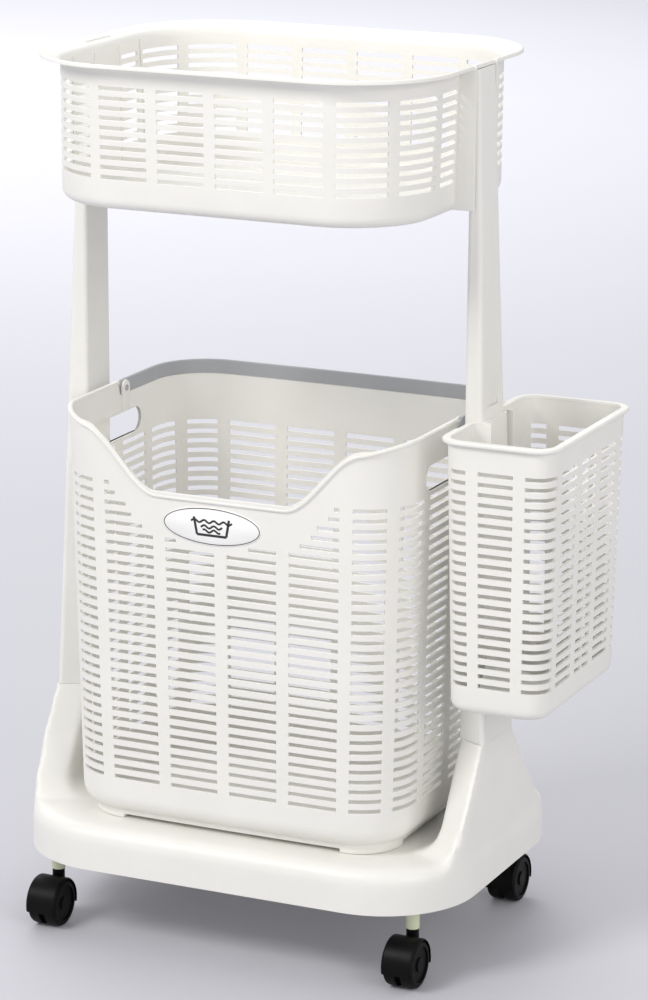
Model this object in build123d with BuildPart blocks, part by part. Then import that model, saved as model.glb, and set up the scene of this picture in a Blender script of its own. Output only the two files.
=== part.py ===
"""Laundry sorter on wheels: a tray base with two posts, three plastic baskets and four twin-wheel casters.

Frame: +X to the right, -Y to the front, +Z up, Z = 0 on the floor. The origin is the middle of the whole
object's footprint, so the trolley's own middle plane lies to the left of it: the side basket sticks out.
"""

import os
from math import atan2, degrees

from build123d import *

os.makedirs("parts", exist_ok=True)

# ---------------------------------------------------------------- driving dimensions (mm)

MID_X = -44.0            # middle plane of the trolley
STACK_Y = -8.0           # middle of the posts and of all three baskets
BASE_Y = 10.0            # middle of the base, which reaches further back than the posts

BASE_W = 456.0
BASE_D = 344.0
BASE_CORNER = 94.0
BASE_BOTTOM = 73.0
DECK_TOP = 115.0
SKIN = 3.0               # wall of the base and of the posts
SEAM_Z = 213.0           # where the posts stand on the risers

POST_INNER_X = 195.5     # inner face of each post, from the middle plane
POST_INNER_D = 46.0
POST_TOP_Z = 842.0
POST_OUT_TOP_X = 204.0   # outer face at the top and at the seam
POST_OUT_SEAM_X = 226.0
POST_OUT_TOP_D = 36.0    # depth of the outer face at the top and at the seam
POST_OUT_SEAM_D = 76.0
RISER_FOOT_INNER_D = 188.0
RISER_FOOT_OUTER_D = 222.0
RISER_FOOT_Z = 100.0     # the risers start inside the deck
RISER_PROUD = 1.0        # by which a riser would pass the base's outline, where it is trimmed
DECK_BLEND = 8.0         # rounding of the deck's edge and of the risers' feet
POST_EDGE = 4.0          # rounding of the posts' upright edges
SPIGOT = 30.0            # how far a post reaches down into its riser
GROOVE_W = 20.0          # shallow groove in the outer face of each post
GROOVE_DEPTH = 1.2
GROOVE_LOW_Z = 240.0
GROOVE_HIGH_Z = 822.0

WALL = 2.5               # wall of the baskets

TOP_W = 408.0            # top basket: rim, then body at the flange and at the floor
TOP_D = 348.0
TOP_CORNER = 100.0
TOP_RIM_Z = 850.0
TOP_NECK_Z = 842.0
TOP_NECK_INSET = 20.0
TOP_FLOOR_INSET = 23.0
TOP_BODY_CORNER = 62.0
TOP_BOTTOM_Z = 714.0
TOP_BOTTOM_BLEND = 8.0
POST_POCKET_IN_X = 176.0   # pockets for the posts, from the middle plane
POST_POCKET_OUT_X = 203.0
POCKET_REACH = 40.0        # the pocket is open outwards
POCKET_RELIEF = 10.0       # hollow between the pocket and the basket's wall
POCKET_LID = 2.0           # how far below the rim's edge the pockets' walls end, inside the flare

BIG_W = 360.0            # laundry basket: rim, then foot of the body
BIG_D = 281.0
BIG_CORNER = 62.0
BIG_RIM_Z = 513.5
BIG_BOTTOM_Z = 124.0
BIG_FOOT_W = 342.0
BIG_FOOT_D = 254.0
BIG_FOOT_CORNER = 52.0
RIM_LIP = 2.5            # how far a rim stands out from its wall
RIM_HEIGHT = 6.0
SCOOP_Z = 447.0          # lowest line of the front cut-away
SCOOP_FLAT = 50.0        # half-width of its flat part
SCOOP_END = 150.0        # half-width where it meets the rim
BIG_BOTTOM_BLEND = 18.0
GRIP_LENGTH = 92.0       # hand holes
GRIP_HEIGHT = 24.0
GRIP_Z = 470.0
FOOT_GAP = 0.3           # between the feet and the deck
FOOT_X = 134.0           # middle of each foot
FOOT_Y = 90.0
FOOT_W = 48.0
FOOT_D = 40.0
FOOT_CORNER = 12.0
LUG_THICK = 3.0          # lugs inside the walls that carry the handle's pins
LUG_WIDTH = 18.0
LUG_DROP = 14.0          # how far a lug reaches down the wall

BAIL_HEIGHT = 16.0       # carry handle
BAIL_THICK = 4.0
BAIL_PIVOT_Y = 14.0      # from the middle of the stack
BAIL_PIVOT_Z = 505.2
BAIL_GAP = 11.0          # from the pivot to the end of the full-height rim
PIN_R = 3.0

BADGE_W = 100.0
BADGE_H = 36.0
BADGE_X = -8.0
BADGE_Z = 421.0
BADGE_THICK = 1.0

SIDE_X = 258.5           # side basket: middle of its rim, from the middle plane
SIDE_W = 115.0
SIDE_D = 213.0
SIDE_CORNER = 18.0
SIDE_RIM_Z = 520.0
SIDE_BOTTOM_Z = 262.0
SIDE_NECK_INSET = 5.0
SIDE_FOOT_INSET = 10.0
SIDE_BOTTOM_BLEND = 10.0
SIDE_GAP = 1.0           # around the post

STEM_X = 187.0           # casters, from the middle plane and from the middle of the base
STEM_Y = 127.0
STEM_R = 4.0
STEM_BOTTOM = 43.5
STEM_CHAMFER = 1.0
SLEEVE_R = 6.5
SLEEVE_BOTTOM = 52.0
SLEEVE_TOP = 98.0
BOSS_R = 12.0
TRAIL = 15.0             # from the stem forward to the axle
WHEEL_R = 22.5
WHEEL_W = 12.0
WEB_W = 5.0              # middle web of the caster's hood
HOOD_R = 24.8
HOOD_W = 31.0
HOOD_SKIN = 1.6
HOOD_EDGE = 2.5          # rounding of the hood's outer edges
HOOD_LOW_Z = 17.0        # lower edge of the hood
NECK_R = 6.0
NECK_GAP = 0.3           # between the hood's neck and the sleeve above it
WHEEL_GAP = 0.5          # between a wheel and the web
WHEEL_DISH = 1.5
TREAD_EDGE = 3.5         # rounding of the tread's outer edge
FLANGE_W = 5.5           # flat ring between the tread and the dish
HUB_R = 7.0
AXLE_R = 2.5
AXLE_L = 22.0
AXLE_END_GAP = 1.0

RUNNING = 0.05           # radial clearance of every turning fit
LOOSE = 0.4              # clearance of pieces that are pushed together by hand

SIDES = {"left": -1, "right": 1}
CORNERS = {
    "front_left": (-1, -1),
    "front_right": (1, -1),
    "rear_left": (-1, 1),
    "rear_right": (1, 1),
}

BASE_PLANE = Plane((MID_X, BASE_Y, 0))
STACK_PLANE = Plane((MID_X, STACK_Y, 0))


# ---------------------------------------------------------------- shared shapes

def save(builder, name):
    """Label a finished piece and write it as its own STEP file."""
    builder.part.label = name
    export_step(builder.part, f"parts/{name}.step")


def between(z, low, high):
    """Value at height z on the straight line through low = (z, value) and high = (z, value)."""
    share = (z - low[0]) / (high[0] - low[0])
    return low[1] + share * (high[1] - low[1])


def post_outer_x(z):
    return between(z, (SEAM_Z, POST_OUT_SEAM_X), (POST_TOP_Z, POST_OUT_TOP_X))


def post_outer_d(z):
    return between(z, (SEAM_Z, POST_OUT_SEAM_D), (POST_TOP_Z, POST_OUT_TOP_D))


def pillar_section(plane, side, inner_x, outer_x, inner_d, outer_d):
    """Four-sided section of a post or riser, wider at its outer face, on the given plane."""
    with BuildSketch(plane) as section:
        with BuildLine():
            Polyline(
                (side * inner_x, -inner_d / 2),
                (side * outer_x, -outer_d / 2),
                (side * outer_x, outer_d / 2),
                (side * inner_x, inner_d / 2),
                close=True,
            )
        make_face()
    return section.sketch


def post_section(z, side, inset=0.0):
    """Section of a post at height z, drawn in from its faces by inset."""
    return pillar_section(
        STACK_PLANE.offset(z),
        side,
        POST_INNER_X + inset,
        post_outer_x(z) - inset,
        POST_INNER_D - 2 * inset,
        post_outer_d(z) - 2 * inset,
    )


def rounded(plane, width, depth, radius, shift_x=0.0):
    """Rounded rectangle on a plane, as a sketch."""
    with BuildSketch(plane) as outline:
        with Locations((shift_x, 0)):
            RectangleRounded(width, depth, radius)
    return outline.sketch


# ---------------------------------------------------------------- base with its two risers

def base_block(inset, low, high):
    """Block of the base's outline, drawn in by inset, between two heights."""
    with BuildPart() as block:
        outline = (BASE_W - 2 * inset, BASE_D - 2 * inset, BASE_CORNER - inset)
        add(rounded(BASE_PLANE.offset(low), *outline))
        extrude(amount=high - low)
    return block.part


def riser(side, inset=0.0):
    """A-shaped riser from inside the deck up to the post's seam, kept within the base's outline."""
    with BuildPart() as shape:
        foot = pillar_section(
            STACK_PLANE.offset(RISER_FOOT_Z),
            side,
            POST_INNER_X + inset,
            BASE_W / 2 + RISER_PROUD - inset,
            RISER_FOOT_INNER_D - 2 * inset,
            RISER_FOOT_OUTER_D - 2 * inset,
        )
        add(foot)
        add(post_section(SEAM_Z, side, inset))
        loft()
        add(base_block(inset, BASE_BOTTOM, SEAM_Z), mode=Mode.INTERSECT)
    return shape.part


with BuildPart() as base_tray:
    add(base_block(0, BASE_BOTTOM, DECK_TOP))
    for side in SIDES.values():
        add(riser(side))
    deck_edges = base_tray.edges().filter_by_position(Axis.Z, DECK_TOP - 0.1, DECK_TOP + 0.1)
    fillet(deck_edges, DECK_BLEND)
    # hollow underneath, and up into both risers, whose open tops take the posts
    add(base_block(SKIN, BASE_BOTTOM, DECK_TOP - DECK_BLEND), mode=Mode.SUBTRACT)
    add(base_block(DECK_BLEND, BASE_BOTTOM, DECK_TOP - SKIN), mode=Mode.SUBTRACT)
    for side in SIDES.values():
        add(riser(side, SKIN), mode=Mode.SUBTRACT)
    # caster bosses under the deck
    with BuildSketch(BASE_PLANE.offset(BASE_BOTTOM + 1)):
        with GridLocations(2 * STEM_X, 2 * STEM_Y, 2, 2):
            Circle(BOSS_R)
    extrude(amount=DECK_TOP - SKIN - BASE_BOTTOM)
    with BuildSketch(BASE_PLANE.offset(BASE_BOTTOM)):
        with GridLocations(2 * STEM_X, 2 * STEM_Y, 2, 2):
            Circle(SLEEVE_R)
    extrude(amount=SLEEVE_TOP - BASE_BOTTOM, mode=Mode.SUBTRACT)
save(base_tray, "base_tray")


# ---------------------------------------------------------------- posts

def post(side):
    """Hollow tapering post with a spigot at its foot and a shallow groove down its outer face."""
    with BuildPart() as piece:
        add(post_section(SEAM_Z, side))
        add(post_section(POST_TOP_Z, side))
        loft()
        upright = piece.edges().filter_by(lambda edge: edge.length > SEAM_Z)
        fillet(upright, POST_EDGE)
        add(post_section(SEAM_Z - SPIGOT, side, SKIN + LOOSE))
        add(post_section(SEAM_Z, side, SKIN + LOOSE))
        loft()
        hollow_top = POST_TOP_Z - SKIN
        add(post_section(SEAM_Z - SPIGOT, side, 2 * SKIN))
        add(post_section(hollow_top, side, 2 * SKIN))
        loft(mode=Mode.SUBTRACT)
        # the groove lies on the leaning outer face
        lean = degrees(atan2(POST_OUT_SEAM_X - POST_OUT_TOP_X, POST_TOP_Z - SEAM_Z))
        middle_z = (GROOVE_LOW_Z + GROOVE_HIGH_Z) / 2
        face_origin = (MID_X + side * post_outer_x(middle_z), STACK_Y, middle_z)
        face = Plane(origin=face_origin, x_dir=(0, side, 0), z_dir=(side, 0, 0)).rotated((-side * lean, 0, 0))
        with BuildSketch(face):
            SlotOverall(GROOVE_HIGH_Z - GROOVE_LOW_Z, GROOVE_W, rotation=90)
        extrude(amount=-GROOVE_DEPTH, mode=Mode.SUBTRACT)
    return piece


for name, side in SIDES.items():
    save(post(side), f"post_{name}")


# ---------------------------------------------------------------- top basket

def tapered(plane, low, high, blend=0.0):
    """Solid between two rounded rectangles (z, width, depth, corner radius), its foot rounded by blend."""
    with BuildPart() as shape:
        for z, width, depth, radius in (low, high):
            add(rounded(plane.offset(z), width, depth, radius))
        loft()
        if blend:
            fillet(shape.faces().sort_by(Axis.Z)[0].edges(), blend)
    return shape.part


TOP_BODY_LOW = (
    TOP_BOTTOM_Z,
    TOP_W - 2 * TOP_FLOOR_INSET,
    TOP_D - 2 * TOP_FLOOR_INSET,
    TOP_BODY_CORNER,
)
TOP_BODY_HIGH = (
    TOP_NECK_Z,
    TOP_W - 2 * TOP_NECK_INSET,
    TOP_D - 2 * TOP_NECK_INSET,
    TOP_CORNER - TOP_NECK_INSET,
)


def shrunk(section, inset, lift=0.0):
    """A section (z, width, depth, corner radius) drawn in by inset and lifted."""
    z, width, depth, radius = section
    return (z + lift, width - 2 * inset, depth - 2 * inset, max(radius - inset, 1.0))


with BuildPart() as top_basket:
    add(tapered(STACK_PLANE, TOP_BODY_LOW, TOP_BODY_HIGH, TOP_BOTTOM_BLEND))
    # flared rim: its underside rises outwards and its edge stands upright
    rim_edge = (TOP_RIM_Z - WALL, TOP_W, TOP_D, TOP_CORNER)
    rim_root = shrunk(TOP_BODY_HIGH, WALL / 2, -WALL)
    add(tapered(STACK_PLANE, rim_root, rim_edge))
    add(rounded(STACK_PLANE.offset(TOP_RIM_Z - WALL), TOP_W, TOP_D, TOP_CORNER))
    extrude(amount=WALL)
    # pockets on both sides that the posts stand in
    pocket_x = (POST_POCKET_IN_X + POST_POCKET_OUT_X) / 2
    with BuildSketch(STACK_PLANE.offset(TOP_BOTTOM_Z)):
        with Locations((-pocket_x, 0), (pocket_x, 0)):
            Rectangle(POST_POCKET_OUT_X - POST_POCKET_IN_X, POST_INNER_D + 2 * (LOOSE + WALL))
    extrude(amount=TOP_RIM_Z - POCKET_LID - TOP_BOTTOM_Z)
    for side in SIDES.values():
        with BuildSketch(STACK_PLANE.offset(TOP_BOTTOM_Z)):
            with Locations((side * (POST_INNER_X - LOOSE + POCKET_REACH / 2), 0)):
                Rectangle(POCKET_REACH, POST_INNER_D + 2 * LOOSE)
            with Locations((side * (POST_INNER_X - LOOSE - WALL - POCKET_RELIEF / 2), 0)):
                Rectangle(POCKET_RELIEF, POST_INNER_D + 2 * LOOSE)
        extrude(amount=POST_TOP_Z + LOOSE - TOP_BOTTOM_Z, mode=Mode.SUBTRACT)
    # inside
    inside_low = shrunk(TOP_BODY_LOW, WALL, WALL)
    inside_high = shrunk(TOP_BODY_HIGH, WALL)
    inner = tapered(STACK_PLANE, inside_low, inside_high, TOP_BOTTOM_BLEND - WALL)
    add(inner, mode=Mode.SUBTRACT)
    flare = tapered(STACK_PLANE, inside_high, shrunk(rim_edge, WALL, WALL))
    add(flare, mode=Mode.SUBTRACT)
save(top_basket, "top_basket")


# ---------------------------------------------------------------- laundry basket

BIG_BODY_LOW = (BIG_BOTTOM_Z, BIG_FOOT_W, BIG_FOOT_D, BIG_FOOT_CORNER)
BIG_BODY_HIGH = (BIG_RIM_Z, BIG_W - 2 * RIM_LIP, BIG_D - 2 * RIM_LIP, BIG_CORNER - RIM_LIP)
BIG_SHELF_Z = BAIL_PIVOT_Z - BAIL_HEIGHT / 2 - LOOSE     # top of the wall below the lying handle
BAIL_FRONT_Y = BAIL_PIVOT_Y - BAIL_GAP                    # where the full-height rim ends
BIG_WALL_LEAN = degrees(atan2((BIG_BODY_HIGH[2] - BIG_FOOT_D) / 2, BIG_RIM_Z - BIG_BOTTOM_Z))


def big_body_d(z):
    """Depth of the laundry basket's body at height z."""
    return between(z, (BIG_BOTTOM_Z, BIG_FOOT_D), (BIG_RIM_Z, BIG_BODY_HIGH[2]))


def scoop():
    """Block that cuts the front of the basket down to an S-shaped dip."""
    with BuildPart() as block:
        with BuildSketch(Plane.XZ.offset(-STACK_Y).shift_origin((MID_X, STACK_Y, 0))):
            with BuildLine():
                Line((-SCOOP_FLAT, SCOOP_Z), (SCOOP_FLAT, SCOOP_Z))
                for side in SIDES.values():
                    Spline(
                        (side * SCOOP_FLAT, SCOOP_Z),
                        (side * SCOOP_END, BIG_RIM_Z),
                        tangents=((side, 0), (side, 0)),
                    )
                Polyline(
                    (-SCOOP_END, BIG_RIM_Z),
                    (-SCOOP_END, BIG_RIM_Z + RIM_HEIGHT),
                    (SCOOP_END, BIG_RIM_Z + RIM_HEIGHT),
                    (SCOOP_END, BIG_RIM_Z),
                )
            make_face()
        extrude(amount=BIG_D)
    return block.part


with BuildPart() as laundry_basket:
    add(tapered(STACK_PLANE, BIG_BODY_LOW, BIG_BODY_HIGH, BIG_BOTTOM_BLEND))
    add(rounded(STACK_PLANE.offset(BIG_RIM_Z - RIM_HEIGHT), BIG_W, BIG_D, BIG_CORNER))
    extrude(amount=RIM_HEIGHT)
    inside_low = shrunk(BIG_BODY_LOW, WALL, WALL)
    inside_high = shrunk(BIG_BODY_HIGH, WALL)
    inner = tapered(STACK_PLANE, inside_low, inside_high, BIG_BOTTOM_BLEND - WALL)
    add(inner, mode=Mode.SUBTRACT)
    # the rear half of the rim steps down under the carry handle
    with BuildSketch(STACK_PLANE.offset(BIG_SHELF_Z)):
        with Locations((0, BAIL_FRONT_Y)):
            Rectangle(2 * BIG_W, BIG_D, align=(Align.CENTER, Align.MIN))
    extrude(amount=BIG_RIM_Z - BIG_SHELF_Z, mode=Mode.SUBTRACT)
    # a lug inside each wall carries the handle's pivot
    lug_x = BIG_W / 2 - BAIL_THICK - LOOSE - LUG_THICK / 2
    with BuildSketch(STACK_PLANE.offset(BIG_SHELF_Z - LUG_DROP)):
        with Locations((-lug_x, BAIL_PIVOT_Y), (lug_x, BAIL_PIVOT_Y)):
            Rectangle(LUG_THICK, LUG_WIDTH)
    extrude(amount=BIG_RIM_Z - BIG_SHELF_Z + LUG_DROP)
    add(scoop(), mode=Mode.SUBTRACT)
    # hand holes through both side walls
    with BuildSketch(Plane.YZ.offset(MID_X).shift_origin((MID_X, STACK_Y, GRIP_Z))):
        SlotOverall(GRIP_LENGTH, GRIP_HEIGHT)
    extrude(amount=BIG_W, both=True, mode=Mode.SUBTRACT)
    # bores of the pivot pins
    with BuildSketch(Plane.YZ.offset(MID_X).shift_origin((MID_X, STACK_Y + BAIL_PIVOT_Y, BAIL_PIVOT_Z))):
        Circle(PIN_R)
    extrude(amount=BIG_W, both=True, mode=Mode.SUBTRACT)
    # feet
    with BuildSketch(STACK_PLANE.offset(DECK_TOP + FOOT_GAP)):
        with GridLocations(2 * FOOT_X, 2 * FOOT_Y, 2, 2):
            RectangleRounded(FOOT_W, FOOT_D, FOOT_CORNER)
    extrude(amount=BIG_BOTTOM_Z + WALL / 2 - DECK_TOP - FOOT_GAP)
save(laundry_basket, "laundry_basket")

# ---------------------------------------------------------------- carry handle and its pins

with BuildPart() as carry_handle:
    add(rounded(STACK_PLANE.offset(BAIL_PIVOT_Z - BAIL_HEIGHT / 2), BIG_W, BIG_D, BIG_CORNER))
    extrude(amount=BAIL_HEIGHT)
    add(
        rounded(
            STACK_PLANE.offset(BAIL_PIVOT_Z - BAIL_HEIGHT / 2),
            BIG_W - 2 * BAIL_THICK,
            BIG_D - 2 * BAIL_THICK,
            BIG_CORNER - BAIL_THICK,
        )
    )
    extrude(amount=BAIL_HEIGHT, mode=Mode.SUBTRACT)
    with BuildSketch(STACK_PLANE.offset(BAIL_PIVOT_Z - BAIL_HEIGHT / 2)):
        with Locations((0, BAIL_PIVOT_Y - BAIL_HEIGHT / 2)):
            Rectangle(2 * BIG_W, BIG_D, align=(Align.CENTER, Align.MAX))
    extrude(amount=BAIL_HEIGHT, mode=Mode.SUBTRACT)
    arm_ends = carry_handle.edges().filter_by(Axis.X).sort_by(Axis.Y)[:4]
    fillet(arm_ends, BAIL_HEIGHT / 2 - 0.1)
    with BuildSketch(Plane.YZ.offset(MID_X).shift_origin((MID_X, STACK_Y + BAIL_PIVOT_Y, BAIL_PIVOT_Z))):
        Circle(PIN_R + RUNNING)
    extrude(amount=BIG_W, both=True, mode=Mode.SUBTRACT)
save(carry_handle, "carry_handle")

for name, side in SIDES.items():
    inner_end = BIG_W / 2 - BAIL_THICK - LOOSE - LUG_THICK
    pin_origin = (MID_X + side * inner_end, STACK_Y + BAIL_PIVOT_Y, BAIL_PIVOT_Z)
    with BuildPart() as pin:
        with BuildSketch(Plane(origin=pin_origin, x_dir=(0, 1, 0), z_dir=(side, 0, 0))):
            Circle(PIN_R)
        extrude(amount=BIG_W / 2 - inner_end)
    save(pin, f"handle_pin_{name}")

# ---------------------------------------------------------------- badge on the basket's front

badge_origin = (MID_X + BADGE_X, STACK_Y - big_body_d(BADGE_Z) / 2, BADGE_Z)
badge_plane = Plane(origin=badge_origin, x_dir=(1, 0, 0), z_dir=(0, -1, 0)).rotated((BIG_WALL_LEAN, 0, 0))
with BuildPart() as badge:
    with BuildSketch(badge_plane):
        Ellipse(BADGE_W / 2, BADGE_H / 2)
    extrude(amount=BADGE_THICK)
save(badge, "badge")

# ---------------------------------------------------------------- side basket

SIDE_PLANE = STACK_PLANE.shift_origin((MID_X + SIDE_X, STACK_Y, 0))
SIDE_BODY_LOW = (
    SIDE_BOTTOM_Z,
    SIDE_W - 2 * SIDE_FOOT_INSET,
    SIDE_D - 2 * SIDE_FOOT_INSET,
    SIDE_CORNER,
)
SIDE_BODY_HIGH = (
    SIDE_RIM_Z,
    SIDE_W - 2 * SIDE_NECK_INSET,
    SIDE_D - 2 * SIDE_NECK_INSET,
    SIDE_CORNER,
)


def post_recess(gap):
    """Upright recess that takes the right-hand post from outside with the given gap."""
    with BuildPart() as recess:
        for z in (SIDE_BOTTOM_Z - 1, SIDE_RIM_Z + 1):
            depth = post_outer_d(z) + 2 * gap
            inner_x = POST_INNER_X - gap
            add(
                pillar_section(
                    STACK_PLANE.offset(z),
                    SIDES["right"],
                    inner_x,
                    post_outer_x(z) + gap,
                    depth,
                    depth,
                )
            )
        loft()
    return recess.part


with BuildPart() as side_hollow:
    inside_low = shrunk(SIDE_BODY_LOW, WALL, WALL)
    inside_high = shrunk(SIDE_BODY_HIGH, WALL)
    add(tapered(SIDE_PLANE, inside_low, inside_high, SIDE_BOTTOM_BLEND - WALL))
    add(post_recess(SIDE_GAP + WALL), mode=Mode.SUBTRACT)

with BuildPart() as side_basket:
    add(tapered(SIDE_PLANE, SIDE_BODY_LOW, SIDE_BODY_HIGH, SIDE_BOTTOM_BLEND))
    add(rounded(SIDE_PLANE.offset(SIDE_RIM_Z - RIM_HEIGHT), SIDE_W, SIDE_D, SIDE_CORNER))
    extrude(amount=RIM_HEIGHT)
    add(post_recess(SIDE_GAP), mode=Mode.SUBTRACT)
    add(side_hollow.part, mode=Mode.SUBTRACT)
save(side_basket, "side_basket")

# ---------------------------------------------------------------- casters


def along_x(x, y, z):
    """Plane at a point with its normal along +X, for the discs and pins of a caster."""
    return Plane(origin=(x, y, z), x_dir=(0, 1, 0), z_dir=(1, 0, 0))


def sleeve(x, y):
    with BuildPart() as piece:
        with BuildSketch(Plane((x, y, SLEEVE_BOTTOM))):
            Circle(SLEEVE_R)
            Circle(STEM_R + RUNNING, mode=Mode.SUBTRACT)
        extrude(amount=SLEEVE_TOP - SLEEVE_BOTTOM)
    return piece


def stem(x, y):
    with BuildPart() as piece:
        with BuildSketch(Plane((x, y, STEM_BOTTOM))):
            Circle(STEM_R)
        extrude(amount=SLEEVE_TOP - STEM_BOTTOM)
        chamfer(piece.edges().sort_by(Axis.Z)[-1], STEM_CHAMFER)
    return piece


def hood(x, y):
    """Half shell over both wheels, with the web between them and the neck round the stem."""
    axle_y = y - TRAIL
    with BuildPart() as piece:
        with BuildSketch(along_x(x - HOOD_W / 2, axle_y, WHEEL_R)):
            Circle(HOOD_R)
        extrude(amount=HOOD_W)
        rims = piece.edges().filter_by(GeomType.CIRCLE)
        fillet(rims, HOOD_EDGE)
        with BuildSketch(Plane((x, y, WHEEL_R))):
            Circle(NECK_R)
        extrude(amount=SLEEVE_BOTTOM - WHEEL_R - NECK_GAP)
        for inner_x in (x - HOOD_W / 2 - 1, x + WEB_W / 2):
            with BuildSketch(along_x(inner_x, axle_y, WHEEL_R)):
                Circle(HOOD_R - HOOD_SKIN)
            extrude(amount=HOOD_W / 2 - WEB_W / 2 + 1, mode=Mode.SUBTRACT)
        with BuildSketch(Plane((x, axle_y, HOOD_LOW_Z - HOOD_R))):
            Rectangle(2 * HOOD_W, 4 * HOOD_R)
        extrude(amount=HOOD_R, mode=Mode.SUBTRACT)
        with BuildSketch(along_x(x - WEB_W, axle_y, WHEEL_R)):
            Circle(AXLE_R)
        extrude(amount=2 * WEB_W, mode=Mode.SUBTRACT)
        with BuildSketch(Plane((x, y, STEM_BOTTOM))):
            Circle(STEM_R)
        extrude(amount=SLEEVE_BOTTOM - STEM_BOTTOM, mode=Mode.SUBTRACT)
    return piece


def axle(x, y):
    with BuildPart() as piece:
        with BuildSketch(along_x(x - AXLE_L / 2, y - TRAIL, WHEEL_R)):
            Circle(AXLE_R)
        extrude(amount=AXLE_L)
    return piece


def wheel(x, y, side):
    """One of a caster's two wheels: rounded tread, dished outer face, bore for the axle."""
    centre = (x + side * (WEB_W / 2 + WHEEL_GAP), y - TRAIL, WHEEL_R)
    with BuildPart() as piece:
        with BuildSketch(Plane(origin=centre, x_dir=(0, 1, 0), z_dir=(side, 0, 0))):
            Circle(WHEEL_R)
        extrude(amount=WHEEL_W)
        outer_rim = piece.edges().filter_by(GeomType.CIRCLE).sort_by(Axis.X)[-1 if side > 0 else 0]
        fillet(outer_rim, TREAD_EDGE)
        outer_face = (centre[0] + side * (WHEEL_W - WHEEL_DISH), centre[1], centre[2])
        with BuildSketch(Plane(origin=outer_face, x_dir=(0, 1, 0), z_dir=(side, 0, 0))):
            Circle(WHEEL_R - FLANGE_W)
            Circle(HUB_R, mode=Mode.SUBTRACT)
        extrude(amount=WHEEL_DISH + 1, mode=Mode.SUBTRACT)
        with BuildSketch(Plane(origin=centre, x_dir=(0, 1, 0), z_dir=(side, 0, 0))):
            Circle(AXLE_R + RUNNING)
        extrude(amount=AXLE_L / 2 - WEB_W / 2 - WHEEL_GAP + AXLE_END_GAP, mode=Mode.SUBTRACT)
    return piece


for corner, (across, along) in CORNERS.items():
    stem_x = MID_X + across * STEM_X
    stem_y = BASE_Y + along * STEM_Y
    save(sleeve(stem_x, stem_y), f"caster_sleeve_{corner}")
    save(stem(stem_x, stem_y), f"caster_stem_{corner}")
    save(hood(stem_x, stem_y), f"caster_hood_{corner}")
    save(axle(stem_x, stem_y), f"caster_axle_{corner}")
    for name, side in SIDES.items():
        save(wheel(stem_x, stem_y, side), f"wheel_{corner}_{name}")
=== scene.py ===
"""Laundry sorter on wheels: the looks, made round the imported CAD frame.

Every piece is drawn in millimetres and stored in metres, in the frame of the CAD:
+X right, -Y front, +Z up.
"""

import math

import bmesh
import bpy
import numpy as np
from mathutils import Matrix, Vector


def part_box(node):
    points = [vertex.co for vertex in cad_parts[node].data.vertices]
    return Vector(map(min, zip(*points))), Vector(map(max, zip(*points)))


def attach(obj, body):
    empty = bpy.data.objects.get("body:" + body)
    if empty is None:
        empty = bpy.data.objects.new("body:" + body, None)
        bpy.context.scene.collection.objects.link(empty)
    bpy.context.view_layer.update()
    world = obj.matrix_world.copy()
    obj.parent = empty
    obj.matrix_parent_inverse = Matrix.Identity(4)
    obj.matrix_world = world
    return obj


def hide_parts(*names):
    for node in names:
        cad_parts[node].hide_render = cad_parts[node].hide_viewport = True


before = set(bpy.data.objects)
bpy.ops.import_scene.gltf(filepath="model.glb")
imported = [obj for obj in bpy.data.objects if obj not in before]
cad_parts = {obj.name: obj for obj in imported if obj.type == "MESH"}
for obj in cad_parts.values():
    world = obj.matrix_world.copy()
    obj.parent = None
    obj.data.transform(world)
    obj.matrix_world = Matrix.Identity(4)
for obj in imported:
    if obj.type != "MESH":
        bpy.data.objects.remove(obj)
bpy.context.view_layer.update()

MM = 0.001

# ---- places read from the frame (mm)


def box_mm(name):
    """Lowest and highest corner of a CAD node, in millimetres."""
    low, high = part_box(name)
    return low / MM, high / MM


def middle(low, high):
    return (low + high) / 2


def half_size(low, high):
    """Half the width and half the depth between two corners."""
    return (high.x - low.x) / 2, (high.y - low.y) / 2


BASE_LOW, BASE_HIGH = box_mm("base_tray")
TOP_LOW, TOP_HIGH = box_mm("top_basket")
BIG_LOW, BIG_HIGH = box_mm("laundry_basket")
SIDE_LOW, SIDE_HIGH = box_mm("side_basket")
BAIL_LOW, BAIL_HIGH = box_mm("carry_handle")
BADGE_LOW, BADGE_HIGH = box_mm("badge")

MID_X = middle(TOP_LOW, TOP_HIGH).x
STACK_Y = middle(TOP_LOW, TOP_HIGH).y
BASE_Y = middle(BASE_LOW, BASE_HIGH).y
SIDE_X = middle(SIDE_LOW, SIDE_HIGH).x

# ---- sizes of the moulded pieces (mm)

WALL = 2.5
CELL = 6.0                 # width of one cell of a basket's wall
SLOT = 4.2                 # height of a slot
SLOT_EDGE = 0.35           # rounding of the edges of the slotted walls

TOP_CORNER = 98.0          # top basket: rim, neck and foot
TOP_NECK_CORNER = 90.0
TOP_NECK_INSET = 20.0
TOP_NECK_Z = 834.0
TOP_FOOT_INSET = 23.0
TOP_FOOT_CORNER = 80.0
TOP_BLEND = 8.0
TOP_ROWS = (741.7, 9.0, 10)                     # first row, pitch, how many
TOP_HOLLOW = 8.0           # radius of the hollow under the flare
TOP_FLANGE = ((9.0, 6.2), (4.4, 3.9), (3.0, 4.2), (2.5, 5.2), (2.5, 7.4))    # inset, depth under the rim
TOP_WEB = 10.7             # plain strip between two columns of slots
TOP_SLOTS = (47.4, 47.4, 47.4, 47.4, 33.0)      # widths of the columns, from the middle of the front
TOP_RIDGE_AT = 232.3
RIDGE_SECTION = ((-1.2, -1.0), (-0.6, 1.0), (0.6, 1.0), (1.2, -1.0))    # along the wall, out of it
SLEEVE_HALF_D = 25.9       # sleeves round the posts
SLEEVE_INNER_X = 192.6
SLEEVE_OUTER_X = 203.0

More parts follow.
